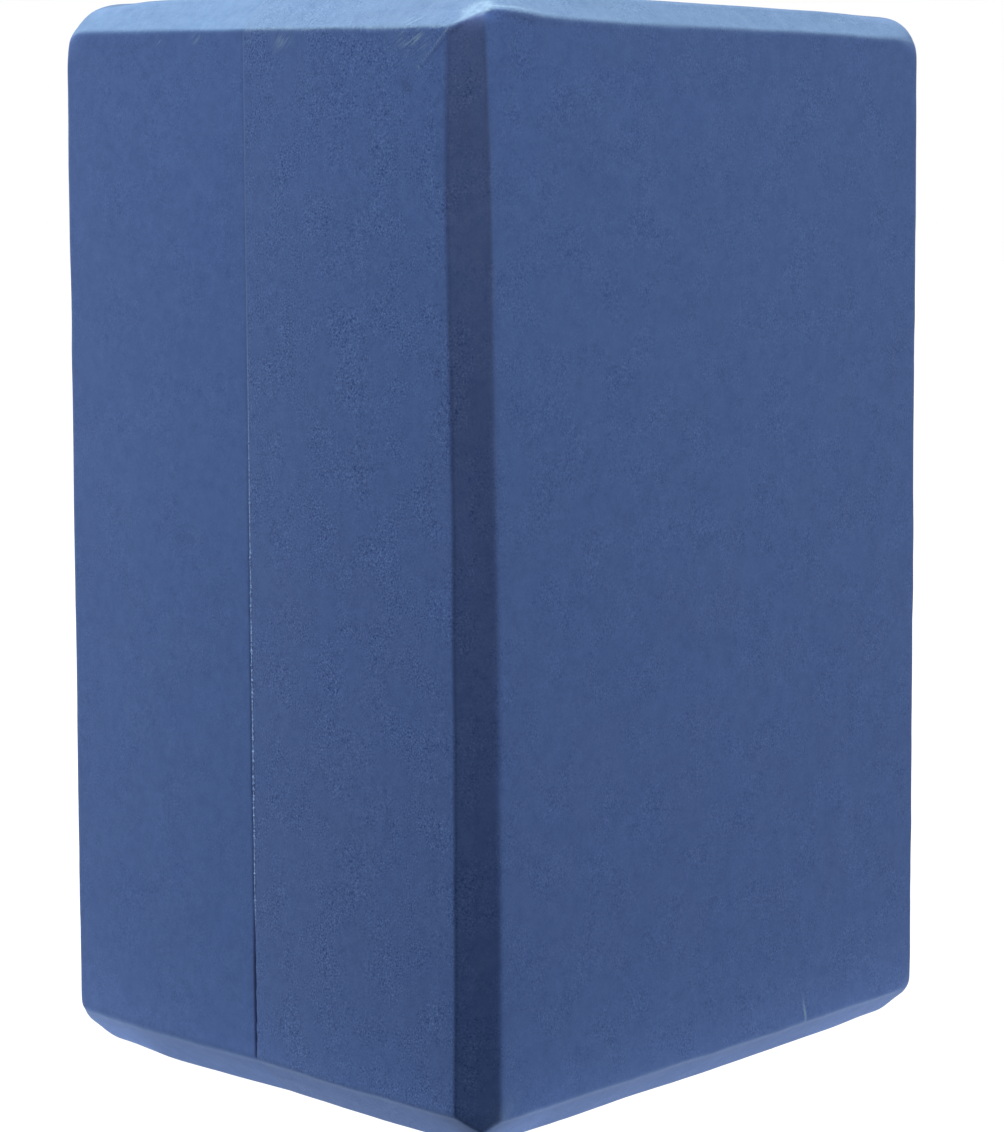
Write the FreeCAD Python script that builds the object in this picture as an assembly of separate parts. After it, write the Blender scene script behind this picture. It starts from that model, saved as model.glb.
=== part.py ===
import FreeCAD, Part
import math
import os

# Foam yoga block that stands on one end.
# Two slabs of closed-cell foam are stuck together, face to face, with a film of contact cement. The stack
# is then sawn to size, and every edge is planed off at 45 degrees and sanded, so that no edge is sharp in
# the hand.
# Frame, in millimetres: +Z is up, X runs across the width, and Y runs through the two slabs, with the front
# slab at -Y. The origin is in the middle of the foot.

# Driving sizes of the block
block_height = 228.6
block_width = 152.4
block_thickness = 127.0

# The layers of the thickness, from front to back: the rear slab takes what these two leave
front_slab_thickness = 63.9
glue_film_thickness = 0.3

# Legs of the planed edges: the upright ones, and those round the two ends
upright_chamfer = 6.4
top_side_chamfer = 5.8
top_face_chamfer = 5.3
bottom_side_chamfer = 9.0
bottom_face_chamfer = 7.3

# Sanded round along each crease between a face and a chamfer, or between two chamfers
crease_radius = 1.3

# The cement stops this far inside the block's surface, which leaves a hairline groove along the joint
glue_recess = 0.6

# Cutting tools run this far past what they cut
cut_overrun = 20.0

front_face_y = -block_thickness / 2
rear_face_y = block_thickness / 2
glue_front_y = front_face_y + front_slab_thickness
glue_rear_y = glue_front_y + glue_film_thickness
side_face_x = block_width / 2

X_AXIS = FreeCAD.Vector(1, 0, 0)
Y_AXIS = FreeCAD.Vector(0, 1, 0)
Z_AXIS = FreeCAD.Vector(0, 0, 1)


def box_between(low, high):
    """A plain box from one corner to the opposite one."""
    size = high - low
    return Part.makeBox(size.x, size.y, size.z, low)


def edge_wedge(corner, first_inward, second_inward, leg, length):
    """The prism that a plane takes off one edge: a triangle at the edge's corner, run along the edge.

    first_inward and second_inward point from the edge into its two faces.
    """
    reach = leg + cut_overrun
    outside = corner - (first_inward + second_inward) * cut_overrun
    triangle = Part.makePolygon([
        outside,
        outside + first_inward * (reach + cut_overrun),
        outside + second_inward * (reach + cut_overrun),
        outside,
    ])
    along = first_inward.cross(second_inward)
    if along.dot(X_AXIS + Y_AXIS + Z_AXIS) < 0:
        along = -along
    triangle.translate(-along * cut_overrun)
    return Part.Face(triangle).extrude(along * (length + 2 * cut_overrun))


def chamfered_block(inset):
    """The whole block with its planed edges, every face moved in by the inset."""
    low = FreeCAD.Vector(-side_face_x + inset, front_face_y + inset, inset)
    high = FreeCAD.Vector(side_face_x - inset, rear_face_y - inset, block_height - inset)
    size = high - low
    # A chamfer that moves in with its two faces keeps its slope, and its legs get shorter
    leg_loss = inset * (2 - math.sqrt(2))
    block = box_between(low, high)
    wedges = []
    for x, inward_x in ((low.x, X_AXIS), (high.x, -X_AXIS)):
        for y, inward_y in ((low.y, Y_AXIS), (high.y, -Y_AXIS)):
            corner = FreeCAD.Vector(x, y, low.z)
            wedges.append(edge_wedge(corner, inward_x, inward_y, upright_chamfer - leg_loss, size.z))
    ends = (
        (low.z, Z_AXIS, bottom_side_chamfer, bottom_face_chamfer),
        (high.z, -Z_AXIS, top_side_chamfer, top_face_chamfer),
    )
    for z, inward_z, side_chamfer, face_chamfer in ends:
        for x, inward_x in ((low.x, X_AXIS), (high.x, -X_AXIS)):
            corner = FreeCAD.Vector(x, low.y, z)
            wedges.append(edge_wedge(corner, inward_x, inward_z, side_chamfer - leg_loss, size.y))
        for y, inward_y in ((low.y, Y_AXIS), (high.y, -Y_AXIS)):
            corner = FreeCAD.Vector(low.x, y, z)
            wedges.append(edge_wedge(corner, inward_y, inward_z, face_chamfer - leg_loss, size.x))
    return block.cut(wedges)


def layer(low_y, high_y):
    """A box that holds all of the block between two planes through its thickness."""
    low = FreeCAD.Vector(-side_face_x - cut_overrun, low_y, -cut_overrun)
    high = FreeCAD.Vector(side_face_x + cut_overrun, high_y, block_height + cut_overrun)
    return box_between(low, high)


def sanded_block():
    """The planed block with its creases rounded over."""
    planed = chamfered_block(0)
    return planed.makeFillet(crease_radius, planed.Edges)


def front_slab(block):
    """The foam slab towards -Y, with the front face."""
    return block.common(layer(front_face_y - cut_overrun, glue_front_y))


def rear_slab(block):
    """The foam slab towards +Y, with the rear face."""
    return block.common(layer(glue_rear_y, rear_face_y + cut_overrun))


def glue_film():
    """The film of cement between the slabs, set back from the block's surface all round."""
    return chamfered_block(glue_recess).common(layer(glue_front_y, glue_rear_y))


def main():
    block = sanded_block()
    pieces = {
        "front_slab": front_slab(block),
        "rear_slab": rear_slab(block),
        "glue_film": glue_film(),
    }
    os.makedirs("parts", exist_ok=True)
    for name, piece in pieces.items():
        solid = piece.removeSplitter()
        solid.exportStep(f"parts/{name}.step")
        box = solid.BoundBox
        print(
            f"{name}: {len(solid.Solids)} solid, {solid.Volume:.0f} mm3, valid {solid.isValid()}, "
            f"{box.XLength:.1f} x {box.YLength:.1f} x {box.ZLength:.1f} mm"
        )


main()
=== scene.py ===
# %% [markdown]
# # A foam yoga block
# This lesson dresses one small thing well: a yoga block that stands on end. The real block is two slabs of
# closed-cell foam, glued face to face, sawn to size, and planed and sanded along every edge. Its shape is
# plain, so the likeness lies in how uneven that handwork is, and in how the foam takes the light.
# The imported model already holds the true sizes, so the first step loads it and measures it. Everything below
# is in metres, in the model's own frame: +Z is up, the foot is at height zero, X runs across the width, and Y
# runs through the two slabs, from the front slab to the rear one.

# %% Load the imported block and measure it
import math

import bpy
from mathutils import Matrix, Vector


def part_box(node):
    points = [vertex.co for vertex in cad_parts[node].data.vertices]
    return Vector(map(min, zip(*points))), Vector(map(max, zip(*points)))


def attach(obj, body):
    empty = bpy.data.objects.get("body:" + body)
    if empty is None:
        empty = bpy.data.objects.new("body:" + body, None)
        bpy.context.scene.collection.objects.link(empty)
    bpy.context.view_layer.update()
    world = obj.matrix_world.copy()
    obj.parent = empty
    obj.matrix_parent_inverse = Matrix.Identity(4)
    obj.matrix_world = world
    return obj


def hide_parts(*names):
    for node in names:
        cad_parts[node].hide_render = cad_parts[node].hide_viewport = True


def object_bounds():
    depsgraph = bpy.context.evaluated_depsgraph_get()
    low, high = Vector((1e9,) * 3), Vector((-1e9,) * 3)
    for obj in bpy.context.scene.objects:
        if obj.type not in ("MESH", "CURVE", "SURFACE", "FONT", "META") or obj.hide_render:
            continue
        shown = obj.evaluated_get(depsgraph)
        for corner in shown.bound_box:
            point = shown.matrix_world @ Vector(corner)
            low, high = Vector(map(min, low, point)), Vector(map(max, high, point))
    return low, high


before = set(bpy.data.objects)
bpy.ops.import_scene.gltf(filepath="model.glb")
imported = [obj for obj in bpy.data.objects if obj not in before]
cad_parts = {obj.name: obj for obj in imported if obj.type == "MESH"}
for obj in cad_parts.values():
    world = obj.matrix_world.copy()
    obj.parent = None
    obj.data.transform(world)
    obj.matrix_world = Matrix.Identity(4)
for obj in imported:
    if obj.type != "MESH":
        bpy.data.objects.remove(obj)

cad_low, cad_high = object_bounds()
block_size = cad_high - cad_low
block_middle = (cad_low + cad_high) / 2
joint_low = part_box("glue_film")[0].y
joint_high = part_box("glue_film")[1].y
print(f"block {block_size.x:.4f} x {block_size.y:.4f} x {block_size.z:.4f} m")
print(f"glue joint from y = {joint_low:.5f} to {joint_high:.5f} m")

# %% [markdown]
# ## The camera
# A camera could be placed by eye, but a likeness is only as good as its perspective. The photograph's edges
# give the view exactly: the block stands with one upright corner towards the lens, seen from a little above.
# The camera is therefore set by angles round the block's middle, a distance, and a small aim offset. The
# focal length comes from the photograph's pixels: Blender's lens is in millimetres on a sensor whose width
# stands for the longer side of the picture.

# %% Camera at the photograph's viewing angle
CAMERA_AZIMUTH = -47.218
CAMERA_ELEVATION = 7.068
CAMERA_ROLL = -0.208
CAMERA_DISTANCE = 0.68018
AIM_RIGHT = 0.00031
AIM_UP = -0.00751
FOCAL_PIXELS = 3033.0
PHOTO_LONG_SIDE = 1132
SENSOR_MM = 36.0

swing = math.radians(CAMERA_AZIMUTH)
lift = math.radians(CAMERA_ELEVATION)
roll = math.radians(CAMERA_ROLL)
back = Vector((math.sin(swing) * math.cos(lift), -math.cos(swing) * math.cos(lift), math.sin(lift)))
level_right = Vector((math.cos(swing), math.sin(swing), 0))
level_up = back.cross(level_right)
right = level_right * math.cos(roll) + level_up * math.sin(roll)
up = level_up * math.cos(roll) - level_right * math.sin(roll)
aim = block_middle + level_right * AIM_RIGHT + level_up * AIM_UP

lens_data = bpy.data.cameras.new("photo_camera")
lens_data.sensor_width = SENSOR_MM
lens_data.lens = FOCAL_PIXELS / PHOTO_LONG_SIDE * SENSOR_MM
camera = bpy.data.objects.new("photo_camera", lens_data)
turn = Matrix((right, up, back)).transposed().to_4x4()
camera.matrix_world = Matrix.Translation(aim + back * CAMERA_DISTANCE) @ turn
bpy.context.scene.collection.objects.link(camera)
bpy.context.scene.camera = camera
print(f"camera: {lens_data.lens:.1f} mm lens, {CAMERA_DISTANCE:.3f} m from the block's middle")

# %% [markdown]
# ## Nodes from plain arithmetic
# Both the shapes and the finishes below are node trees. Written one node at a time, even a short formula
# turns into pages of links. This small class wraps a socket and gives it the usual operators, so that a
# formula in Python reads as a formula, and each operator adds the Math node that does it. It works in shader
# trees and in geometry trees alike, because both use the same Math node.

# %% Fill a socket, add a node
def fill(socket, value):
    """Links a field or a socket to an input, or sets a plain value on it."""
    source = value.socket if isinstance(value, Field) else value
    if isinstance(source, bpy.types.NodeSocket):
        socket.id_data.links.new(source, socket)
    else:
        socket.default_value = source


def new_node(tree, kind, inputs=None, **options):
    """Adds a node with its options set and its inputs filled, by name or by number."""
    node = tree.nodes.new(kind)
    for option, value in options.items():
        setattr(node, option, value)
    for key, value in (inputs or {}).items():
        fill(node.inputs[key], value)
    return node


# %% A field: one number per point, worked out by nodes
class Field:
    """One number at each point. Arithmetic on it adds Math nodes to the tree that it belongs to."""

    def __init__(self, socket):
        self.socket = socket

    def math(self, operation, *others):
        inputs = dict(enumerate((self, *others)))
        return Field(new_node(self.socket.id_data, "ShaderNodeMath", inputs, operation=operation).outputs[0])

    def __add__(self, other):
        return self.math("ADD", other)

    def __sub__(self, other):
        return self.math("SUBTRACT", other)

    def __rsub__(self, other):
        return (self * -1) + other

    def __mul__(self, other):
        return self.math("MULTIPLY", other)

    def __truediv__(self, other):
        return self.math("DIVIDE", other)

    __radd__ = __add__
    __rmul__ = __mul__

    def least(self, other):
        return self.math("MINIMUM", other)

    def most(self, other):
        return self.math("MAXIMUM", other)

    def soft_least(self, other, softness):
        """The smaller of two fields, with the change from one to the other rounded over."""
        return self.math("SMOOTH_MIN", other, softness)

    def size(self):
        return self.math("ABSOLUTE")

    def above(self, level):
        return self.math("GREATER_THAN", level)

    def below(self, level):
        return self.math("LESS_THAN", level)

    def between(self, low, high):
        return self.most(low).least(high)

    def step(self, low, high):
        """Rises smoothly from 0 at the low value to 1 at the high one."""
        inputs = {"Value": self, "From Min": low, "From Max": high}
        return Field(new_node(self.socket.id_data, "ShaderNodeMapRange", inputs,
                              interpolation_type="SMOOTHSTEP").outputs["Result"])

    def bell(self, middle, width):
        """Is 1 at the middle, and dies away on both sides of it."""
        offset = (self - middle) / width
        return (offset * offset * -1).math("EXPONENT")


# %% Vectors, mixes and noise
NOISE_MIDDLE = 0.5
NOISE_GAIN = 4


def split(vector):
    """The x, y and z fields of a vector socket."""
    node = new_node(vector.id_data, "ShaderNodeSeparateXYZ", {0: vector})
    return tuple(Field(output) for output in node.outputs)


def joined(x, y, z):
    """One vector field from three number fields."""
    return Field(new_node(x.socket.id_data, "ShaderNodeCombineXYZ", {0: x, 1: y, 2: z}).outputs[0])


def mixed(first, second, share):
    """Goes from the first value to the second as the share goes from 0 to 1."""
    return share * (second - first) + first


def noise(where, lump_size, seed, detail=2.0, roughness=0.5):
    """Soft noise about zero, mostly within one each way, with lumps of the given size."""
    tree = where.socket.id_data
    shifted = new_node(tree, "ShaderNodeVectorMath", {0: where, 1: (seed, seed * 2, seed * 3)})
    inputs = {"Vector": shifted.outputs[0], "Scale": 1 / lump_size, "Detail": detail, "Roughness": roughness}
    return (Field(new_node(tree, "ShaderNodeTexNoise", inputs).outputs[0]) - NOISE_MIDDLE) * NOISE_GAIN


print("helpers ready: fill, new_node, Field, split, joined, mixed, noise")

# %% [markdown]
# ## The foam
# Closed-cell foam is a matte solid full of tiny bubbles. A saw cuts the bubbles open, so a sawn side is
# speckled with dark pores and pale cell walls. The skin of the sheet is smoother, and a planed edge is
# rubbed greyer. The planed edges and the top face also carry painted light, brighter and whiter higher up.
# A picture of foam could be wrapped round the block, but it would show seams at every edge, and noise in the
# block's own space has none. Each layer below has a real size: clouds of a centimetre or two, a grain of a
# few millimetres, and specks of half a millimetre that gather in patches.
# The specks go into the colour, and hardly into the relief. Relief alone would look like leather, because a
# lamp gives every bump the same bright side, while real cut cells are light or dark on their own account.
# The mesh brings marks of its own, which the material reads as attributes: `planed` on the chamfers,
# `upright` on those that stand up, `crown` on the top face, `worn` where a crease or a
# corner was rubbed and where a highlight is painted, `pressed` for painted shade along a crease,
# `rim_shade` for painted shade at the joint, and `sawn` on the faces that the saw made.

# %% Specks of cut cells
SPECK_SIZE = 0.00042
SPECK_STRETCH_SHARE = 0.95
SPECK_EDGE = (0.2, 0.8)
PATCH_SIZE = 0.009
PATCH_EDGE = (-0.8, 1.0)
SPARSE_SHARE = 0.15


def attribute(tree, name):
    """A mark that the mesh carries, as a field."""
    return Field(new_node(tree, "ShaderNodeAttribute", attribute_name=name).outputs["Fac"])


def cut_cells(where, seed):
    """Pale cell walls above zero and dark pores below it, dense in some patches only."""
    x, y, z = split(where.socket)
    patches = mixed(SPARSE_SHARE, 1.0, noise(where, PATCH_SIZE, seed + 1).step(*PATCH_EDGE))
    specks = noise(joined(x, y, z * SPECK_STRETCH_SHARE), SPECK_SIZE, seed, detail=1.0)
    return (specks.step(*SPECK_EDGE) - (specks * -1).step(*SPECK_EDGE)) * patches


# %% Scuffs and knocks
STROKE_SPACING = 0.0006
STROKE_STRETCH_SHARE = 0.10
STROKE_EDGE = (-0.1, 0.6)


def streak(across, up, place):
    """A soft streak on a face, and the fields along and beside it."""
    middle_across, middle_up, lean, half_length, half_width = place
    run = math.cos(math.radians(lean))
    climb = math.sin(math.radians(lean))
    along = across * run + up * climb
    beside = up * run - across * climb
    mask = along.bell(middle_across * run + middle_up * climb, half_length) * beside.bell(
        middle_up * run - middle_across * climb, half_width)
    return mask, along, beside


def pale_streaks(where, scuffs, knocks, seed):
    """Bundles of fine strokes on the side at -X, and single knocks on the front face."""
    x, y, z = split(where.socket)
    streaks = x * 0
    for place in scuffs:
        mask, along, beside = streak(y, z, place)
        strokes = noise(joined(beside, along * STROKE_STRETCH_SHARE, x * 0), STROKE_SPACING, seed)
        streaks = streaks.most(mask * strokes.step(*STROKE_EDGE) * x.below(0))
    for place in knocks:
        streaks = streaks.most(streak(x, z, place)[0] * y.below(0))
    return streaks


# %% Tints of the planed edges, with painted light
# Each row says how much redder, greener and bluer an edge is than the faces, at the foot and at the top.
# The rise towards the top is painted light, brighter and whiter, on top of the greyer rub of the plane
FOOT_TINTS = (1.06, 1.05, 1.00)
TOP_TINTS = (1.64, 1.37, 0.88)
UPRIGHT_FOOT_TINTS = (1.13, 0.97, 0.95)
UPRIGHT_TOP_TINTS = (1.88, 1.30, 1.12)
CROWN_SHARE = 0.8
TINT_LOW = 0.02
TINT_HIGH = 0.22


def planed_tints_and_painted_light(tree, where, planed, upright):
    """The tint of each point: none on the upright faces, and that of the edges on chamfers and on the top,
    with painted light that rises towards the top.
    """
    high = split(where.socket)[2].step(TINT_LOW, TINT_HIGH)
    ends = [mixed(foot, top, high) for foot, top in zip(FOOT_TINTS, TOP_TINTS)]
    uprights = [mixed(foot, top, high) for foot, top in zip(UPRIGHT_FOOT_TINTS, UPRIGHT_TOP_TINTS)]
    crown = attribute(tree, "crown")
    tinted = (planed + crown).least(1.0)
    crown_shade = mixed(1.0, CROWN_SHARE, crown)
    return [mixed(1.0, mixed(end, side, upright) * crown_shade, tinted) for end, side in zip(ends, uprights)]


# %% Paleness of wear and of painted highlights
WEAR_SIZE = 0.0009
RUBBED_SHARES = (0.5, 0.9)
EVEN_WEAR_SHARE = 0.28
PATCHY_WEAR_SHARE = 0.35
PATCHY_WEAR_EDGE = (0.25, 0.85)
STREAKS_SHARE = 0.6


def paleness_of_wear_and_highlight(tree, where, scuffs, knocks, seed):
    """How pale the foam is: in patches along the creases, as wear and painted highlight, and in streaks of
    wear.
    """
    worn = attribute(tree, "worn")
    rubbed = mixed(*RUBBED_SHARES, noise(where, WEAR_SIZE, seed + 3, detail=3.0))
    patchy = (worn * rubbed).step(*PATCHY_WEAR_EDGE)
    wear = worn * worn * EVEN_WEAR_SHARE + patchy * PATCHY_WEAR_SHARE
    return wear.most(pale_streaks(where, scuffs, knocks, seed) * STREAKS_SHARE)


# %% Foam material
# A row of shares says how strongly a layer shows in red, green and blue
CLOUD_SIZE = 0.016
CLOUD_SHARE = 0.03
GRAIN_SIZE = 0.0030
GRAIN_SHARE = 0.19
GRAIN_ROUGHNESS = 0.8
HUE_SIZE = 0.014
HUE_SHARE = 0.014
SPECKS_SHARE = 0.55
END_SPECKS_SHARE = 0.5
UPRIGHT_SPECKS_SHARE = 0.8
MOTTLE_SHARES = (1.40, 0.93, 0.56)
CREASE_SHADE_SHARE = 0.32
PAINTED_DARKENING_SHARES = (1.04, 0.95, 0.78)
# The pale colour of rubbed foam, also used for the painted highlights
WEAR_AND_HIGHLIGHT_COLOUR = (0.28, 0.45, 0.60)
BUMP_STRENGTH = 0.2
CELL_BUMP_DEPTH = 0.00010
FOAM_ROUGHNESS = 0.78
FOAM_SHEEN = 0.25
FOAM_SHEEN_ROUGHNESS = 0.45
FOAM_SHEEN_TINT = (0.75, 0.84, 1.0, 1.0)


def foam_material(name, colour, grains, seed, scuffs, knocks):
    """Matte foam: clouds, grain and specks, greyer where planed, paler where worn, and with painted light and
    shade.
    """
    material = bpy.data.materials.new(name)
    material.use_nodes = True
    tree = material.node_tree
    where = Field(new_node(tree, "ShaderNodeTexCoord").outputs["Object"])
    skin_grain, sawn_grain = grains
    planed = attribute(tree, "planed")
    upright = attribute(tree, "upright")
    specks = cut_cells(where, seed) * mixed(skin_grain, sawn_grain, attribute(tree, "sawn"))
    planed_share = mixed(END_SPECKS_SHARE, UPRIGHT_SPECKS_SHARE, upright)
    specks = specks * mixed(1.0, planed_share, planed)

    clouds = noise(where, CLOUD_SIZE, seed) * CLOUD_SHARE
    grain = noise(where, GRAIN_SIZE, seed + 4, detail=4.0, roughness=GRAIN_ROUGHNESS) * GRAIN_SHARE
    hue = noise(where, HUE_SIZE, seed + 2) * HUE_SHARE
    mottle = clouds + grain + specks * SPECKS_SHARE
    # Painted shade: a dull crease and the rim at the joint are darkened in colour, because relief this fine
    # hardly shades itself
    painted_darkening = (attribute(tree, "pressed") * CREASE_SHADE_SHARE).most(attribute(tree, "rim_shade"))
    # Painted light: the tints make the planed edges and the top face brighter and whiter higher up, beside the
    # greyer rub of the plane
    tints = planed_tints_and_painted_light(tree, where, planed, upright)
    shades = [(1 + mottle * share) * (1 - painted_darkening * dark) * tint
              for share, dark, tint in zip(MOTTLE_SHARES, PAINTED_DARKENING_SHARES, tints)]
    shades = [shades[0] * (1 + hue), shades[1], shades[2] * (1 - hue)]
    # Paleness: streaks of real wear, and on the creases and at the near tip wear with a painted highlight
    paleness = paleness_of_wear_and_highlight(tree, where, scuffs, knocks, seed)
    colours = [mixed(shade * base, pale, paleness) for shade, base, pale in zip(shades, colour, WEAR_AND_HIGHLIGHT_COLOUR)]

    bump = new_node(tree, "ShaderNodeBump", {"Height": specks, "Strength": BUMP_STRENGTH,
                                             "Distance": CELL_BUMP_DEPTH})
    shader = tree.nodes["Principled BSDF"]
    fill(shader.inputs["Base Color"], joined(*colours))
    fill(shader.inputs["Normal"], bump.outputs["Normal"])
    shader.inputs["Roughness"].default_value = FOAM_ROUGHNESS
    shader.inputs["Sheen Weight"].default_value = FOAM_SHEEN
    shader.inputs["Sheen Roughness"].default_value = FOAM_SHEEN_ROUGHNESS
    shader.inputs["Sheen Tint"].default_value = FOAM_SHEEN_TINT
    print(f"{name}: {len(tree.nodes)} nodes")
    return material


# %% Mix the two foams
# A streak's place is given by its middle across and up the face, its lean in degrees, and its half length and
# half width. A foam's grains are how strongly the specks show on the skin and on sawn faces.
FRONT_FOAM = (0.0560, 0.1366, 0.4010)
FRONT_GRAINS = (0.75, 1.25)
FRONT_SEED = 3.0
FRONT_SCUFFS = [
    (-0.0118, 0.2208, 136, 0.0024, 0.0016),
    (-0.0480, 0.2200, 150, 0.0034, 0.0034),
    (-0.0007, 0.2215, 140, 0.0012, 0.0010),
]
FRONT_KNOCKS = [(0.0303, 0.0094, 103.0, 0.0028, 0.00035)]
REAR_FOAM = (0.0599, 0.1484, 0.4350)
REAR_GRAINS = (0.75, 0.45)
REAR_SEED = 8.0
REAR_SCUFFS = [
    (0.0144, 0.2215, 140, 0.0013, 0.0010),
    (0.0253, 0.2215, 140, 0.0012, 0.0012),
]
front_foam = foam_material("front_foam", FRONT_FOAM, FRONT_GRAINS, FRONT_SEED, FRONT_SCUFFS, FRONT_KNOCKS)
rear_foam = foam_material("rear_foam", REAR_FOAM, REAR_GRAINS, REAR_SEED, REAR_SCUFFS, [])

# %% [markdown]
# ## The cement
# Contact cement is rubbery and a little glossier than foam. High on the block the sander rubbed foam dust
# into it, so there it is only a shade paler than the slabs. Lower down it was squeezed out, and it dried pale
# and lumpy. Near the foot and on the planed edges it is dusty again. It could share the foam's material, but
# it has no cells, so it gets a simpler one.

# %% Cement material
DUSTY_CEMENT = (0.075, 0.165, 0.430)
BARE_CEMENT = (0.280, 0.475, 0.850)
CEMENT_ROUGHNESS = 0.6
CEMENT_LUMP = 0.0007
CEMENT_SEED = 1.0
LUMP_GAIN = 1.2
LUMP_LEVEL = 0.6
BARE_FROM = (0.034, 0.044)
BARE_BELOW = 0.100
DUSTY_ABOVE = 0.178


def cement_material(name):
    """Dried cement: slightly glossy, lumpy, and paler low down."""
    material = bpy.data.materials.new(name)
    material.use_nodes = True
    tree = material.node_tree
    where = Field(new_node(tree, "ShaderNodeTexCoord").outputs["Object"])
    height = split(where.socket)[2]
    high = height.step(BARE_BELOW, DUSTY_ABOVE)
    planed = attribute(tree, "planed")
    lumps = noise(where, CEMENT_LUMP, CEMENT_SEED) * LUMP_GAIN + LUMP_LEVEL
    bare = (1 - high) * lumps.between(0.0, 1.0) * height.step(*BARE_FROM) * (1 - planed)
    # Painted light: high on the planed edges and the top face the cement takes the foam's top tints
    on_top = (planed + attribute(tree, "crown")).least(1.0) * high
    colours = [mixed(mixed(dusty, pale, bare), dusty * tint, on_top)
               for dusty, pale, tint in zip(DUSTY_CEMENT, BARE_CEMENT, TOP_TINTS)]
    shader = tree.nodes["Principled BSDF"]
    fill(shader.inputs["Base Color"], joined(*colours))
    shader.inputs["Roughness"].default_value = CEMENT_ROUGHNESS
    print(f"{name}: {len(tree.nodes)} nodes")
    return material


cement = cement_material("cement")

# %% [markdown]
# ## The planed shape
# Every layer of the block follows one rule: a box whose edges were planed off, and whose creases were then
# sanded. A Bevel modifier could plane a cube's edges, but each cut would have the same depth from end to end,
# and the real ones wander. So the rule is written out in Geometry Nodes. A fine grid box is made first. Each
# of its points then looks outwards from a smaller core box, and measures how far it is to each face and to
# each planed cut in that direction. The nearest one wins, by a soft minimum that rounds the creases.
# Because every cut is a field, its depth can vary along the edge: it can taper, twist or wobble. The far
# corners were rubbed round, so there the minimum is softer. The near tip has a small flat facet of its own.

# %% Sizes of the block and of its cuts
# A leg is how far a cut reaches along both faces from the edge that it takes off, and a taper is how much the
# leg changes from end to end. A corner cut is how much further in the corner's own plane lies than the point
# where the three cuts meet.
cut_sizes = {
    "Width": block_size.x,
    "Thickness": block_size.y,
    "Height": block_size.z,
    "Near leg": 0.0060,
    "Near taper": 0.0011,
    "Near pinch": 0.0015,
    "Near slant": -0.02,
    "Near twist": 0.40,
    "Near bend": 0.85,
    "Right leg": 0.0059,
    "Right taper": 0.0020,
    "Rear leg": 0.0064,
    "Rear taper": 0.0024,
    "Top side leg": 0.0069,
    "Top side taper": 0.0009,
    "Top face leg": 0.0051,
    "Corner hump": 0.0026,
    "Top slope": 0.0025,
    "Foot side leg": 0.0090,
    "Foot side taper": 0.0012,
    "Foot face leg": 0.0073,
    "Near foot cut": -0.0020,
    "Near tip cut": 0.0010,
    "Foot corner cut": -0.0026,
    "Top corner cut": 0.0020,
    "Top corner taper": 0.0094,
    "Crease softness": 0.0009,
    "Wobble": 0.00020,
    "Swell": 0.00075,
    "Face dents": 0.00008,
}
print(f"{len(cut_sizes)} sizes of the block and its cuts")

# %% How deep the plane went along each edge
WOBBLE_LENGTH = 0.028
WOBBLE_SEED = 4.0
RIPPLE_LENGTH = 0.008
RIPPLE_SEED = 5.0
RIPPLE_SHARE = 0.35
HUMP_WIDTH = 0.015
PINCH_FROM_SHARE = 0.34


def whereabouts(size, x, y, z):
    """A point's height as a share, and how far it is at the top, at the near edge and towards the rear."""
    rise = z / size["Height"]
    return {
        "rise": rise,
        "at_top": rise.above(0),
        "near": x.below(0) * y.below(0),
        "rear": (y / size["Thickness"]).step(0, 0.5),
    }


def edge_cuts(size, x, y, z, spot):
    """How deep the upright, side, face and corner cuts are at each point, and how the upright one slants."""
    rise = spot["rise"]
    at_top = spot["at_top"]
    near = spot["near"]
    depth = y / size["Thickness"]
    where = joined(x, y, z)
    ripple = noise(where, RIPPLE_LENGTH, RIPPLE_SEED) * RIPPLE_SHARE
    wobble = (noise(where, WOBBLE_LENGTH, WOBBLE_SEED) + ripple) * size["Wobble"]
    rear_leg = size["Rear leg"] + rise * size["Rear taper"]
    right_leg = size["Right leg"] + rise * size["Right taper"]
    pinch = rise.step(PINCH_FROM_SHARE, 0.5) * size["Near pinch"]
    near_leg = size["Near leg"] - rise * size["Near taper"] - pinch
    upright = mixed(mixed(rear_leg, right_leg, y.below(0)), near_leg, near)
    slant = (size["Near slant"] + rise * (size["Near twist"] + rise * size["Near bend"])) * near
    foot_side = size["Foot side leg"] + depth * size["Foot side taper"]
    side = mixed(foot_side, size["Top side leg"] - depth * size["Top side taper"], at_top)
    hump = x.bell(size["Width"] * -0.5, HUMP_WIDTH) * size["Corner hump"]
    face = mixed(size["Foot face leg"], size["Top face leg"] - hump, at_top)
    top_corner = size["Top corner cut"] + depth * size["Top corner taper"]
    near_corner = mixed(size["Near foot cut"], size["Near tip cut"], at_top)
    corner = mixed(mixed(size["Foot corner cut"], top_corner, at_top), near_corner, near)
    return upright + wobble, slant, side + wobble, face + wobble, corner


# %% Distances from the core to the faces and the cuts
CORE_DEPTH = 0.025
LEAST_SLOPE = 1e-7
TIP_WEIGHT_SHARE = 0.4


def nearest(fields):
    """The smallest of several fields."""
    smallest = fields[0]
    for field in fields[1:]:
        smallest = smallest.least(field)
    return smallest


def rays_from_core(size, x, y, z):
    """For each point: its start on the core, its way out, and the room, slope and reach of that way."""
    places = (x, y, z)
    halves = [size[label] * 0.5 for label in ("Width", "Thickness", "Height")]
    core = [half - CORE_DEPTH for half in halves]
    starts = [place.between(edge * -1, edge) for place, edge in zip(places, core)]
    ways = [place - start for place, start in zip(places, starts)]
    slopes = [way.size().most(LEAST_SLOPE) for way in ways]
    reach = (ways[0] * ways[0] + ways[1] * ways[1] + ways[2] * ways[2]).math("SQRT")
    rooms = [half - start.size() for half, start in zip(halves, starts)]
    return starts, ways, slopes, reach, rooms


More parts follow.
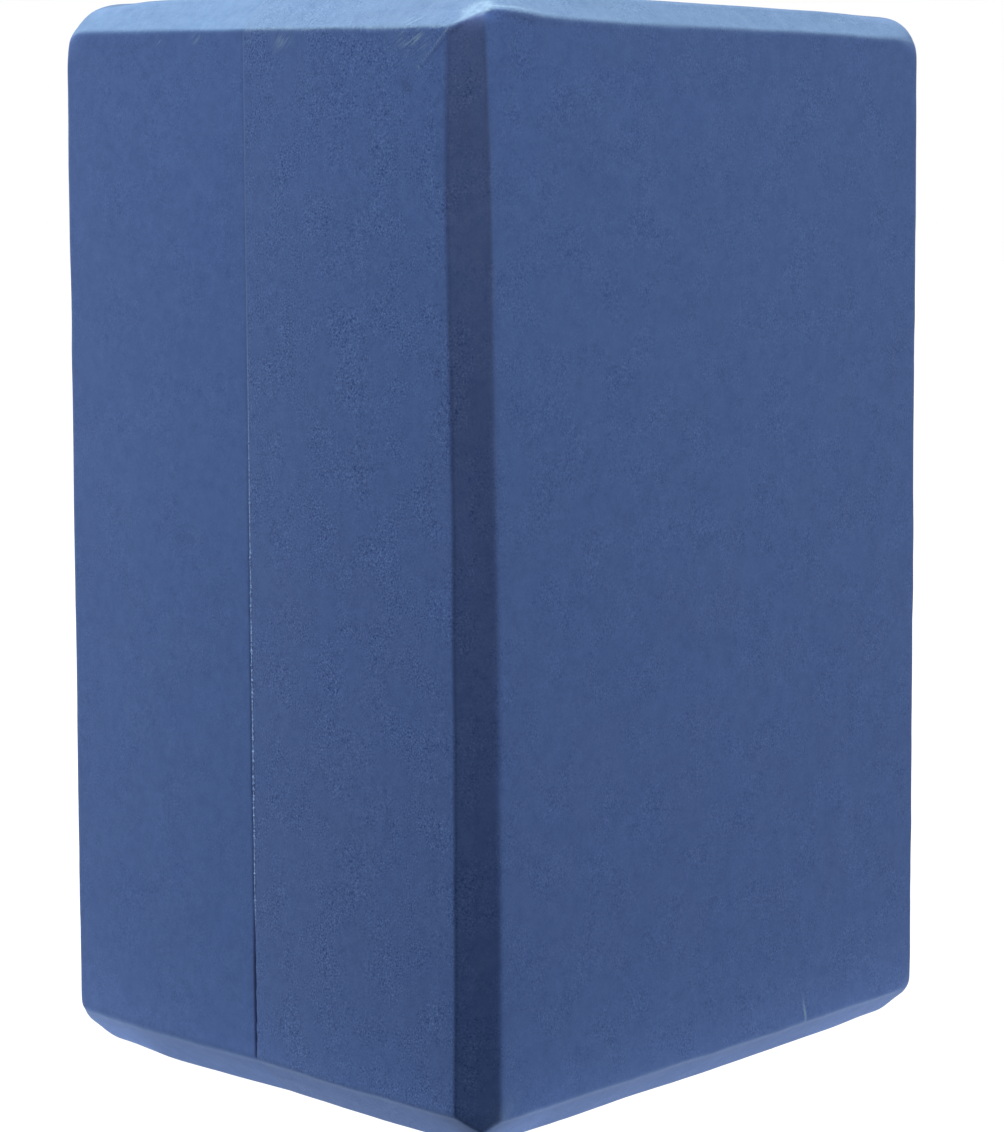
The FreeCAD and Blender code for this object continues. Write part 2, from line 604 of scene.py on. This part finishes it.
def distances(size, x, y, z, insets, spot):
    """For each point: its start and way out, and how far that way runs to the box, the faces and the cuts."""
    starts, ways, slopes, reach, rooms = rays_from_core(size, x, y, z)
    inner = [room - inset for room, inset in zip(rooms, insets)]
    upright_leg, slant, side_leg, face_leg, corner_cut = edge_cuts(size, x, y, z, spot)
    lean = (1 + slant, 1 - slant)
    weight = mixed(1.0, TIP_WEIGHT_SHARE, spot["near"] * spot["at_top"])
    corner_leg = upright_leg * weight + (side_leg + face_leg - upright_leg) * 0.5 + corner_cut
    far = {
        "box": nearest([room * reach / slope for room, slope in zip(rooms, slopes)]),
        "faces": [room * reach / slope for room, slope in zip(inner, slopes)],
        "upright": (inner[0] * lean[0] + inner[1] * lean[1] - upright_leg) * reach / (
            slopes[0] * lean[0] + slopes[1] * lean[1]),
        "side": (inner[0] + inner[2] - side_leg) * reach / (slopes[0] + slopes[2]),
        "face": (inner[1] + inner[2] - face_leg) * reach / (slopes[1] + slopes[2]),
        "corner": ((inner[0] + inner[1]) * weight + inner[2] - corner_leg) * reach / (
            (slopes[0] + slopes[1]) * weight + slopes[2]),
    }
    return starts, ways, far


# %% The soft minimum that sands the creases and rounds the far corners
SANDING_SEED = 6.0
UNEVEN_SANDING_SHARE = 0.4
REAR_FOOT_SHARE = 1.3
CRISP_SHARE = 0.45
CORNER_SOFTNESS = 0.0060
CORNER_REACH = 0.016
FOOT_MITRE_ROUND = 0.0024
TOP_MITRE_ROUND = 0.0055
REAR_MITRE_SHARE = 0.9
FOOT_RIM_REACH = 0.026
FOOT_RIM_ROUND = 0.0035
REAR_FOOT_RIM_SHARE = 0.4
TOP_RIM_REACH = 0.040
TOP_RIM_ROUND = 0.0040
REAR_RIM_SHARE = 1.35


def closeness(first, second, width):
    """Is 1 on the crease where two surfaces meet, and 0 where they are a width apart."""
    return 1 - ((first - second).size() / width).least(1.0)


def sanded_surface(size, x, y, z, far, spot):
    """How far out the sanded surface lies, and how far each point lies in a rounded far corner."""
    at_top = spot["at_top"]
    rear = spot["rear"]
    side = far["side"]
    face = far["face"]
    uneven = noise(joined(x, y, z), WOBBLE_LENGTH, SANDING_SEED) * UNEVEN_SANDING_SHARE
    soft = size["Crease softness"] * (1 + uneven)
    softer = soft * (1 + rear * spot["rise"].below(0) * REAR_FOOT_SHARE)
    in_corner = closeness(side, face, CORNER_REACH).step(0, 1) * (1 - spot["near"])
    in_corner = in_corner * closeness(far["upright"], side.least(face), CORNER_REACH)
    top_mitre = TOP_MITRE_ROUND * (1 + rear * REAR_MITRE_SHARE)
    mitre_soft = soft + in_corner * mixed(FOOT_MITRE_ROUND, top_mitre, at_top)
    foot_rim = FOOT_RIM_ROUND * (1 + rear * REAR_FOOT_RIM_SHARE)
    top_rim = TOP_RIM_ROUND * (1 + rear * REAR_RIM_SHARE)
    beside_mitre = closeness(side, face, mixed(FOOT_RIM_REACH, TOP_RIM_REACH, at_top))
    rim_soft = soft + beside_mitre.step(0, 1) * (1 - spot["near"]) * mixed(foot_rim, top_rim, at_top)
    wall_x, wall_y, end = far["faces"]
    walls = wall_x.soft_least(far["upright"], soft * CRISP_SHARE).soft_least(wall_y, soft)
    ends = end.soft_least(side.soft_least(face, mitre_soft), rim_soft)
    surface = walls.soft_least(ends, softer.most(mitre_soft)).soft_least(far["corner"], CORNER_SOFTNESS)
    return surface, in_corner


# %% Wear and painted highlight along the creases and in the corners
CREASE_WIDTH = 0.0010
FOOT_CREASE_WIDTH = 0.0016
FOOT_CREASE_SHIFT = 0.0011
END_WEAR_SHARE = 0.68
UPRIGHT_WEAR_SHARES = (0.1, 0.6)
UPRIGHT_WEAR_RISE = (-0.15, 0.30)
RUB_REACH = 0.007
RUB_SHARE = 0.75
CORNER_WEAR_SHARE = 0.65


def crease_wear_with_highlight(far, spot, in_corner, beside_tip, upright_mark):
    """How far the long creases and the corners at the foot are rubbed; on the creases the paleness is also a
    painted highlight.
    """
    at_top = spot["at_top"]
    wall_x, wall_y = far["faces"][:2]
    width = mixed(FOOT_CREASE_WIDTH, CREASE_WIDTH, at_top)
    shift = (1 - at_top) * FOOT_CREASE_SHIFT
    ends = closeness(wall_y, far["face"] + shift, width).most(closeness(wall_x, far["side"] + shift, width))
    ends = ends * mixed(END_WEAR_SHARE, 1.0, beside_tip)
    high = mixed(*UPRIGHT_WEAR_SHARES, spot["rise"].step(*UPRIGHT_WEAR_RISE))
    uprights = closeness(wall_y, far["upright"], CREASE_WIDTH) * high
    near_foot = closeness(far["upright"], far["face"], RUB_REACH) * spot["near"]
    near_foot = near_foot * closeness(wall_y, far["upright"], RUB_REACH)
    foot = (in_corner * CORNER_WEAR_SHARE).most(near_foot * RUB_SHARE) * (1 - at_top)
    return mixed(ends, uprights, upright_mark).most(foot)


# %% Painted highlight at the near tip
TIP_REACH = 0.022
TIP_BAND = 0.0009
TIP_BAND_GAIN = 1.5
TIP_WIDTH = 0.0080
TIP_DEPTH = 0.0030
TIP_GAIN = 1.4
TIP_EDGE = 0.0012


def tip_highlight_with_wear(size, x, y, far, planed, beside_tip, at_tip):
    """How pale the near tip is: a painted highlight on it, and a pale worn band along the crease beside it."""
    face = far["face"]
    side = far["side"]
    band = (closeness(face + TIP_BAND, far["faces"][1], TIP_BAND) * beside_tip * TIP_BAND_GAIN).least(1.0)
    along_side = y.bell(size["Thickness"] * -0.5, TIP_DEPTH)
    along_face = x.bell(size["Width"] * -0.5, TIP_WIDTH)
    patch = mixed(along_side, along_face, (side - face).step(-TIP_DEPTH, TIP_DEPTH)) * TIP_GAIN
    above_upright = (far["upright"] - side.least(face)).step(0, TIP_EDGE)
    return (patch.least(1.0) * at_tip * planed * above_upright).most(band)


# %% Marks for the foam to read
MARK_WIDTH = 0.0005
CORNER_BLUR = 0.004
CREASE_SHADE_WIDTH = 0.0006


def surface_marks(size, x, y, far, spot, in_corner):
    """How far each point is planed, upright, on the top face, pale from wear and painted highlight, dark from
    painted shade in a crease, and sawn.
    """
    wall_x, wall_y, end = far["faces"]
    ends_cut = far["side"].least(far["face"])
    cuts = nearest([ends_cut, far["upright"], far["corner"]])
    blur = in_corner * CORNER_BLUR + MARK_WIDTH
    planed = (nearest(far["faces"]) - cuts).step(blur * -1, blur)
    upright = (ends_cut.least(far["corner"]) - far["upright"]).step(-MARK_WIDTH, MARK_WIDTH)
    at_tip = spot["near"] * spot["at_top"]
    beside_tip = x.bell(size["Width"] * -0.5, TIP_REACH) * at_tip
    # Painted shade: a dark line along the near upright crease, and a dark band on the front face just below
    # its top crease beside the tip
    tip_fold_darkening = closeness(far["face"] - TIP_BAND, wall_y, TIP_BAND) * beside_tip
    near_crease_darkening = closeness(wall_x, far["upright"], CREASE_SHADE_WIDTH) * upright * y.below(0)
    return {
        "planed": planed,
        "crown": (nearest([wall_x, wall_y, cuts]) - end).step(-MARK_WIDTH, MARK_WIDTH) * spot["at_top"],
        "upright": upright,
        "worn": crease_wear_with_highlight(far, spot, in_corner, beside_tip, upright).most(
            tip_highlight_with_wear(size, x, y, far, planed, beside_tip, at_tip)),
        "pressed": near_crease_darkening.most(tip_fold_darkening),
        "sawn": (wall_y - wall_x.least(end)).step(0, MARK_WIDTH),
    }


def planed_point(size, x, y, z, insets):
    """Where a point of the grid box goes, and the marks that it carries."""
    spot = whereabouts(size, x, y, z)
    starts, ways, far = distances(size, x, y, z, insets, spot)
    surface, in_corner = sanded_surface(size, x, y, z, far, spot)
    moved = [start + way * surface / far["box"] for start, way in zip(starts, ways)]
    return moved, surface_marks(size, x, y, far, spot, in_corner)


# %% [markdown]
# ## From a rule to a tree
# A tree needs its named inputs, a grid box to start from, and an end that leaves one plain mesh with its
# material. The grid lines are not evenly spread: they are close together near the edges, where the shape
# turns, and far apart on the flats, where little happens. That keeps each slab under two hundred thousand
# triangles.
# Smooth shading runs over every crease, because the sander rounded them, but it stops at the square rim of
# the joint. There the angle between two faces is large, and those edges are marked as sharp.

# %% Start and end of a tree
LINE_COUNTS = ("Lines across", "Lines through", "Lines up")
SHARP_ANGLE = math.radians(55)


def new_tree(name, floats, integers=(), objects=()):
    """A geometry tree with named inputs, and the fields of those inputs."""
    tree = bpy.data.node_groups.new(name, "GeometryNodeTree")
    tree.interface.new_socket("Geometry", in_out="OUTPUT", socket_type="NodeSocketGeometry")
    kinds = {"NodeSocketFloat": floats, "NodeSocketInt": integers, "NodeSocketObject": objects,
             "NodeSocketMaterial": ("Material",)}
    for kind, labels in kinds.items():
        for label in labels:
            tree.interface.new_socket(label, in_out="INPUT", socket_type=kind)
    entry = tree.nodes.new("NodeGroupInput")
    return tree, {output.name: Field(output) for output in entry.outputs if output.name}


def end_tree(tree, geometry, size):
    """Closes a tree: smooth faces, sharp rims, no instances left, and one material."""
    real = new_node(tree, "GeometryNodeRealizeInstances", {"Geometry": geometry})
    smooth = new_node(tree, "GeometryNodeSetShadeSmooth", {"Geometry": real.outputs[0]})
    angle = Field(new_node(tree, "GeometryNodeInputMeshEdgeAngle").outputs["Unsigned Angle"])
    rims = {"Geometry": smooth.outputs[0], "Selection": angle.above(SHARP_ANGLE), "Shade Smooth": False}
    sharp = new_node(tree, "GeometryNodeSetShadeSmooth", rims, domain="EDGE")
    painted = new_node(tree, "GeometryNodeSetMaterial",
                       {"Geometry": sharp.outputs[0], "Material": size["Material"]})
    new_node(tree, "NodeGroupOutput", {"Geometry": painted.outputs[0]})


def run_tree(name, tree, values):
    """The plain mesh object that a tree makes with these inputs."""
    piece = bpy.data.objects.new(name, bpy.data.meshes.new(name))
    bpy.context.scene.collection.objects.link(piece)
    modifier = piece.modifiers.new("shape", "NODES")
    modifier.node_group = tree
    for item in tree.interface.items_tree:
        if item.in_out == "INPUT":
            modifier[item.identifier] = values[item.name]
    depsgraph = bpy.context.evaluated_depsgraph_get()
    mesh = bpy.data.meshes.new_from_object(piece.evaluated_get(depsgraph), preserve_all_data_layers=True,
                                           depsgraph=depsgraph)
    piece.modifiers.remove(modifier)
    piece.data = mesh
    mesh.name = name
    print(f"{name}: {len(mesh.polygons)} faces, tree of {len(tree.nodes)} nodes")
    return piece


# %% Grid box and moved points
EDGE_ZONE = 0.014
EDGE_LINES_SHARE = 0.46
UNIT_BOX = (2, 2, 2)


def grid_box(tree, size):
    """A box of unit half size with the wanted lines, and the x, y and z fields of its points."""
    inputs = {"Size": UNIT_BOX, "Vertices X": size["Lines across"], "Vertices Y": size["Lines through"],
              "Vertices Z": size["Lines up"]}
    cube = new_node(tree, "GeometryNodeMeshCube", inputs)
    return cube.outputs["Mesh"], split(new_node(tree, "GeometryNodeInputPosition").outputs[0])


def lines_between_edges(line, half):
    """Places of lines that are even in the middle and close together near both ends."""
    out = line.size()
    inner = out * (half - EDGE_ZONE) / (1 - EDGE_LINES_SHARE)
    outer = half - (1 - out) * (EDGE_ZONE / EDGE_LINES_SHARE)
    return inner.least(outer) * line.math("SIGN")


def place_points(tree, mesh, moved, marks, size):
    """Stores the marks on the mesh and then moves its points, with the foot at height zero."""
    geometry = mesh
    for name, field in marks.items():
        store = new_node(tree, "GeometryNodeStoreNamedAttribute",
                         {"Geometry": geometry, "Name": name, "Value": field})
        geometry = store.outputs[0]
    lifted = joined(moved[0], moved[1], moved[2] + size["Height"] * 0.5)
    return new_node(tree, "GeometryNodeSetPosition", {"Geometry": geometry, "Position": lifted}).outputs[0]


# %% [markdown]
# ## The two slabs
# One block with a line painted on it would be quicker, but a joint that opens needs two real rims. One tree
# makes both slabs. Its `Side` input is -1 for the front slab and +1 for the rear one.
# A slab's lines are spread from its outer face to the joint, and they are closest at the joint, because there
# the rim of the slab rolls over into a hairline groove. The groove is shut high on the block and opens
# further down, and just above the foot it is a dark slit. Relief that fine hardly shades itself, so the rim of
# the rear slab also carries a mark that darkens it. Each slab swells a little between its rims, as cut foam
# does, so the light steps at the joint.

# %% What the faces do between the edges
# The shares of the height count from the block's middle
DENT_SIZE = 0.045
DENT_SEED = 1.0
SMALL_DENT_SIZE = 0.009
SMALL_DENT_SEED = 2.0
SMALL_DENT_SHARE = 0.2
GROOVE_OPEN_SHARE = -0.11
GROOVE_SHUT_SHARE = 0.20
FADE_FROM_END = 0.008
FADE_TO = 0.012
GROOVE_UNEVEN_SIZE = 0.0022
GROOVE_SEED = 3.0
GROOVE_SPREAD = 0.6
GROOVE_LEVEL = 0.7
DEEP_SHARE = -0.37
SHALLOW_SHARE = -0.30


def face_dip(size, x, y, z):
    """How far the faces dip in, unevenly, all over the block."""
    where = joined(x, y, z)
    small_dents = noise(where, SMALL_DENT_SIZE, SMALL_DENT_SEED) * SMALL_DENT_SHARE
    dents = noise(where, DENT_SIZE, DENT_SEED) + small_dents
    return (dents + 1).most(0) * size["Face dents"]


def top_rise(size, y, z):
    """How far the top end climbs towards the rear, because the saw ran a little out of square."""
    return (y / size["Thickness"] + 0.5) * z.above(0) * size["Top slope"]


def deep_share(size, z):
    """How far the joint is an open slit: fully near the foot, and not at all above a fifth of the height."""
    return 1 - (z / size["Height"]).step(DEEP_SHARE, SHALLOW_SHARE)


def groove_share(size, x, y, z):
    """How far the joint stands open: shut high up and on the planed ends, and open low down."""
    low = 1 - z.step(size["Height"] * GROOVE_OPEN_SHARE, size["Height"] * GROOVE_SHUT_SHARE)
    flat = (size["Height"] * 0.5 - z.size()).step(FADE_FROM_END, FADE_TO)
    uneven = noise(joined(x, y, z), GROOVE_UNEVEN_SIZE, GROOVE_SEED) * GROOVE_SPREAD + GROOVE_LEVEL
    return low * flat * uneven.between(0.0, 1.0)


# %% Slab tree
JOINT_ZONE = 0.004
OUTER_LINES_SHARE = 0.42
JOINT_LINES_SHARE = 0.22
RIM_WIDTH = 0.0009
SHUT_RIM_SHARE = 0.06
RIM_FULL_SHARE = 0.75
SHUT_SHADE_SHARE = 0.16
OPEN_SHADE_SHARE = 0.72
DEEP_RIM_SHARE = 0.4


def lines_to_joint(line, side, thickness):
    """Distance from the outer face for each line: close at the outer edge, and closer still at the joint."""
    through = (1 - line * side) * 0.5
    outer = through * (EDGE_ZONE / OUTER_LINES_SHARE)
    middle_share = 1 - OUTER_LINES_SHARE - JOINT_LINES_SHARE
    middle = (through - OUTER_LINES_SHARE) * (thickness - EDGE_ZONE - JOINT_ZONE) / middle_share + EDGE_ZONE
    left = ((1 - through) / JOINT_LINES_SHARE).least(1.0)
    joint = thickness - left * left * JOINT_ZONE
    return outer.most(middle).least(joint)


def slab_tree():
    """A foam slab with planed outer edges, a rolled rim at the joint, and gently uneven faces."""
    slab_sizes = ("Side", "Slab thickness", "Rim depth", "Rim shade")
    tree, size = new_tree("planed_slab", (*cut_sizes, *slab_sizes), LINE_COUNTS)
    mesh, lines = grid_box(tree, size)
    x = lines_between_edges(lines[0], size["Width"] * 0.5)
    deep = lines_to_joint(lines[1], size["Side"], size["Slab thickness"])
    y = (size["Thickness"] * 0.5 - deep) * size["Side"]
    z = lines_between_edges(lines[2], size["Height"] * 0.5)
    dip = face_dip(size, x, y, z)
    across = deep / size["Slab thickness"] * 2 - 1
    swell = across * across * size["Swell"]
    rolled = 1 - ((size["Slab thickness"] - deep) / RIM_WIDTH).least(1.0)
    groove = groove_share(size, x, y, z)
    deep_slit = deep_share(size, z)
    opened = mixed(SHUT_RIM_SHARE, 1.0, groove) * (1 + deep_slit * DEEP_RIM_SHARE)
    rim = rolled * rolled * size["Rim depth"] * opened
    insets = (dip + swell + rim, dip, dip - top_rise(size, y, z))
    moved, marks = planed_point(size, x, y, z, insets)
    shaded = rolled.step(0, RIM_FULL_SHARE) * size["Rim shade"] * (1 - marks["planed"])
    marks["rim_shade"] = shaded * mixed(SHUT_SHADE_SHARE, OPEN_SHADE_SHARE, groove).most(deep_slit)
    end_tree(tree, place_points(tree, mesh, moved, marks, size), size)
    return tree


slab_nodes = slab_tree()

# %% Make the slabs
slab_lines = {"Lines across": 125, "Lines through": 66, "Lines up": 200}
front_slab = run_tree("foam_front_slab", slab_nodes, {
    **cut_sizes, **slab_lines, "Side": -1.0, "Slab thickness": joint_low - cad_low.y, "Rim depth": 0.00003,
    "Rim shade": 0.0, "Material": front_foam})
rear_slab = run_tree("foam_rear_slab", slab_nodes, {
    **cut_sizes, **slab_lines, "Side": 1.0, "Slab thickness": cad_high.y - joint_high, "Rim depth": 0.00018,
    "Rim shade": 0.9, "Material": rear_foam})

# %% [markdown]
# ## The glue film
# The film fills the joint. High on the block the sander cut it flush with the foam, and there it hardly
# shows. Lower down it was squeezed out a little, and it stands proud as a pale lumpy thread beside the dark
# rim of the rear slab. That thread gives the block's make away. Just above the foot the film sinks into the
# slit instead.
# A stripe of colour on the slabs would have no edge to catch the light, so the film is a piece of its own.
# The same rule makes it: a very thin box, planed like the slabs, whose edge stands out or sinks by a depth
# that changes with height.

# %% Film tree
FLUSH_RECESS = 0.00001
SQUEEZED_OUT = 0.00007
SLIT_DEPTH = 0.00025


def film_tree():
    """A thin plate in the joint: flush high up, standing out lower down, and sunk near the foot."""
    tree, size = new_tree("glue_film_shape", (*cut_sizes, "Joint low", "Joint high"), LINE_COUNTS)
    mesh, lines = grid_box(tree, size)
    x = lines_between_edges(lines[0], size["Width"] * 0.5)
    y = mixed(size["Joint low"], size["Joint high"], (lines[1] + 1) * 0.5)
    z = lines_between_edges(lines[2], size["Height"] * 0.5)
    recess = face_dip(size, x, y, z) + FLUSH_RECESS
    slit = deep_share(size, z)
    thread = groove_share(size, x, y, z) * mixed(SQUEEZED_OUT, -SLIT_DEPTH, slit)
    insets = (recess + size["Swell"] - thread, 0.0, recess - top_rise(size, y, z))
    moved, marks = planed_point(size, x, y, z, insets)
    end_tree(tree, place_points(tree, mesh, moved, marks, size), size)
    return tree


film_nodes = film_tree()
film_lines = {"Lines across": 60, "Lines through": 2, "Lines up": 400}
glue_film = run_tree("cement_film", film_nodes, {
    **cut_sizes, **film_lines, "Joint low": joint_low, "Joint high": joint_high, "Material": cement})

# %% [markdown]
# ## Beads of cement
# Here and there the thread swelled into tiny beads. They repeat along a line, so Geometry Nodes scatter them:
# a row of points on each side of the block, thinned out by height, moved to the film's own edge by a ray, and
# each given a stretched low sphere. A point whose ray misses the film is deleted, because it would otherwise
# leave a bead at the origin.

# %% Bead tree
BEAD_STANDOFF = 0.005
BEAD_FLAT_SHARE = 0.25
BEAD_SIZE_SHARES = (0.5, 1.3)
BEAD_LENGTH_SHARES = (0.7, 1.4)
BEAD_STRAY_SHARE = 0.5


def chance(tree, low, high, seed):
    """A random number for each point."""
    node = new_node(tree, "FunctionNodeRandomValue", {2: low, 3: high, "Seed": seed})
    return Field(node.outputs[1])


def bead_tree():
    """Low stretched spheres on both sides of the block, along the edge of a film."""
    tree, size = new_tree("squeezed_beads", ("Half width", "Line place", "Lowest", "Highest", "Thickest at",
                                             "Spread", "Bead radius"), ("Count", "Seed"), ("Film",))
    index = Field(new_node(tree, "GeometryNodeInputIndex").outputs[0])
    side = index.math("MODULO", 2) * 2 - 1
    height = mixed(size["Lowest"], size["Highest"], chance(tree, 0.0, 1.0, size["Seed"]))
    stray = chance(tree, -BEAD_STRAY_SHARE, BEAD_STRAY_SHARE, size["Seed"] + 1) * size["Bead radius"]
    out = (size["Half width"] + BEAD_STANDOFF) * side
    start = joined(out, size["Line place"] + stray, height)
    points = new_node(tree, "GeometryNodePoints", {"Count": size["Count"], "Position": start})
    bare = chance(tree, 0.0, 1.0, size["Seed"] + 2).above(height.bell(size["Thickest at"], size["Spread"]))
    film = new_node(tree, "GeometryNodeObjectInfo", {"Object": size["Film"]})
    where = Field(new_node(tree, "GeometryNodeInputPosition").outputs[0])
    x_here = split(where.socket)[0]
    drop = new_node(tree, "GeometryNodeRaycast", {
        "Target Geometry": film.outputs["Geometry"], "Source Position": where,
        "Ray Direction": joined(x_here.math("SIGN") * -1, x_here * 0, x_here * 0),
        "Ray Length": BEAD_STANDOFF * 2})
    missed = 1 - Field(drop.outputs["Is Hit"])
    kept = new_node(tree, "GeometryNodeDeleteGeometry", {
        "Geometry": points.outputs[0], "Selection": bare.most(missed)})
    landed = new_node(tree, "GeometryNodeSetPosition", {
        "Geometry": kept.outputs[0], "Position": drop.outputs["Hit Position"]})
    drop_size = size["Bead radius"] * chance(tree, *BEAD_SIZE_SHARES, size["Seed"] + 3)
    drop_length = drop_size * chance(tree, *BEAD_LENGTH_SHARES, size["Seed"] + 4)
    ball = new_node(tree, "GeometryNodeMeshIcoSphere", {"Radius": 1.0, "Subdivisions": 1})
    beads = new_node(tree, "GeometryNodeInstanceOnPoints", {
        "Points": landed.outputs[0], "Instance": ball.outputs["Mesh"],
        "Scale": joined(drop_size * BEAD_FLAT_SHARE, drop_size, drop_length)})
    end_tree(tree, beads.outputs[0], size)
    return tree


bead_nodes = bead_tree()
glue_beads = run_tree("cement_beads", bead_nodes, {
    "Half width": cad_high.x, "Line place": joint_low, "Lowest": 0.040, "Highest": 0.165,
    "Thickest at": 0.070, "Spread": 0.050, "Bead radius": 0.00030, "Count": 800, "Seed": 11,
    "Film": glue_film, "Material": cement})

# %% [markdown]
# ## Floor and light
# The studio is a white table under soft lamps. The largest hangs above the block and a little behind it, and
# two more stand low at the sides, so each side in view gets an even light and the corner towards the camera
# stays darker, which is what makes the block look solid. A small lamp hangs in front of that corner, so that
# it does not go black. Light panels in the table brighten the planed foot.
# A white floor under these lamps would show a shadow, and the photograph shows none. So floor and backdrop
# glow white for the camera alone. To the block the floor is dark and the backdrop gives no light.

# %% White floor and backdrop
FLOOR_RADIUS = 6.0
FLOOR_CLEARANCE = 0.0001
FLOOR_COLOUR = (0.06, 0.06, 0.06, 1.0)
FLOOR_ROUGHNESS = 0.9
FLOOR_GLOW = 1.1
BACKDROP = (1.0, 1.0, 1.0, 1.0)
BACKDROP_GLOW = 1.0
ROOM_LIGHT = 0.0

floor_mesh = bpy.data.meshes.new("floor")
corners = [(-FLOOR_RADIUS, -FLOOR_RADIUS), (FLOOR_RADIUS, -FLOOR_RADIUS), (FLOOR_RADIUS, FLOOR_RADIUS),
           (-FLOOR_RADIUS, FLOOR_RADIUS)]
floor_mesh.from_pydata([(x, y, cad_low.z - FLOOR_CLEARANCE) for x, y in corners], [], [(0, 1, 2, 3)])
floor = bpy.data.objects.new("floor", floor_mesh)
bpy.context.scene.collection.objects.link(floor)
floor_paint = bpy.data.materials.new("floor_white")
floor_paint.use_nodes = True
floor_tree = floor_paint.node_tree
floor_shader = floor_tree.nodes["Principled BSDF"]
floor_shader.inputs["Base Color"].default_value = FLOOR_COLOUR
floor_shader.inputs["Roughness"].default_value = FLOOR_ROUGHNESS
seen = Field(new_node(floor_tree, "ShaderNodeLightPath").outputs["Is Camera Ray"])
glow = new_node(floor_tree, "ShaderNodeEmission", {"Color": BACKDROP, "Strength": seen * FLOOR_GLOW})
lit = new_node(floor_tree, "ShaderNodeAddShader", {0: floor_shader.outputs[0], 1: glow.outputs[0]})
fill(floor_tree.nodes["Material Output"].inputs["Surface"], lit.outputs[0])
floor_mesh.materials.append(floor_paint)

world = bpy.data.worlds.new("studio")
world.use_nodes = True
bpy.context.scene.world = world
sky = world.node_tree
sky.nodes.clear()
camera_sees = new_node(sky, "ShaderNodeLightPath").outputs["Is Camera Ray"]
room = new_node(sky, "ShaderNodeBackground", {"Color": BACKDROP, "Strength": ROOM_LIGHT})
wall = new_node(sky, "ShaderNodeBackground", {"Color": BACKDROP, "Strength": BACKDROP_GLOW})
shown = new_node(sky, "ShaderNodeMixShader", {0: camera_sees, 1: room.outputs[0], 2: wall.outputs[0]})
new_node(sky, "ShaderNodeOutputWorld", {"Surface": shown.outputs[0]})
bpy.context.scene.view_settings.view_transform = "Standard"
print("stage: white floor and backdrop")

# %% Softboxes
# Each lamp's place, its width and height, and its power in watts
LAMPS = [
    ("top_softbox", (-0.05, 0.25, 1.50), (1.0, 1.0), 38.0),
    ("left_softbox", (-0.60, 0.62, 0.09), (0.5, 0.17), 2.6),
    ("right_softbox", (0.95, -1.20, 0.22), (0.8, 0.4), 10.9),
    ("front_softbox", (-0.30, -0.28, 0.62), (0.25, 0.25), 1.0),
]


def lamp_at(name, place, sizes, power):
    """A rectangular lamp that shines straight down from a place."""
    data = bpy.data.lights.new(name, "AREA")
    data.shape = "RECTANGLE"
    data.size, data.size_y = sizes
    data.energy = power
    lamp = bpy.data.objects.new(name, data)
    lamp.location = place
    bpy.context.scene.collection.objects.link(lamp)
    print(f"{name}: {power:.4f} W")
    return lamp


for lamp_row in LAMPS:
    softbox = lamp_at(*lamp_row)
    softbox.rotation_euler = (softbox.location - block_middle).to_track_quat("Z", "Y").to_euler()

# %% Light panels in the table
# Each panel lies along the foot of one side: how far from the near corner it starts and stops, and its power
PANEL_WIDTH = 0.022
PANEL_UNDER = 0.010
FACING_UP = (math.pi, 0, 0)
LEFT_PANELS = [("left_panel", 0.007, 0.150, 0.0065), ("left_far_panel", 0.105, 0.170, 0.0012)]
RIGHT_PANELS = [("right_near_panel", 0.007, 0.026, 0.00117), ("right_panel", 0.026, 0.118, 0.00473),
                ("right_far_panel", 0.118, 0.190, 0.0042)]

panel_height = cad_low.z - FLOOR_CLEARANCE / 2
panel_out = PANEL_UNDER - PANEL_WIDTH / 2
panels = []
for name, start, stop, watts in LEFT_PANELS:
    place = (cad_low.x + panel_out, cad_low.y + (start + stop) / 2, panel_height)
    panels.append(lamp_at(name, place, (PANEL_WIDTH, stop - start), watts))
for name, start, stop, watts in RIGHT_PANELS:
    place = (cad_low.x + (start + stop) / 2, cad_low.y + panel_out, panel_height)
    panels.append(lamp_at(name, place, (stop - start, PANEL_WIDTH), watts))
for panel in panels:
    panel.rotation_euler = FACING_UP

# %% [markdown]
# ## Back to the imported model
# Each slab and the film takes the place of one imported piece, and the beads are added as a piece of their
# own. Nothing on the block moves, so all four pieces ride on its one body.

# %% Ride on the frame
for piece, node, slot in ((front_slab, "front_slab", "front_foam"), (rear_slab, "rear_slab", "rear_foam"),
                          (glue_film, "glue_film", "cement")):
    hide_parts(node)
    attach(piece, "root")
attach(glue_beads, "root")
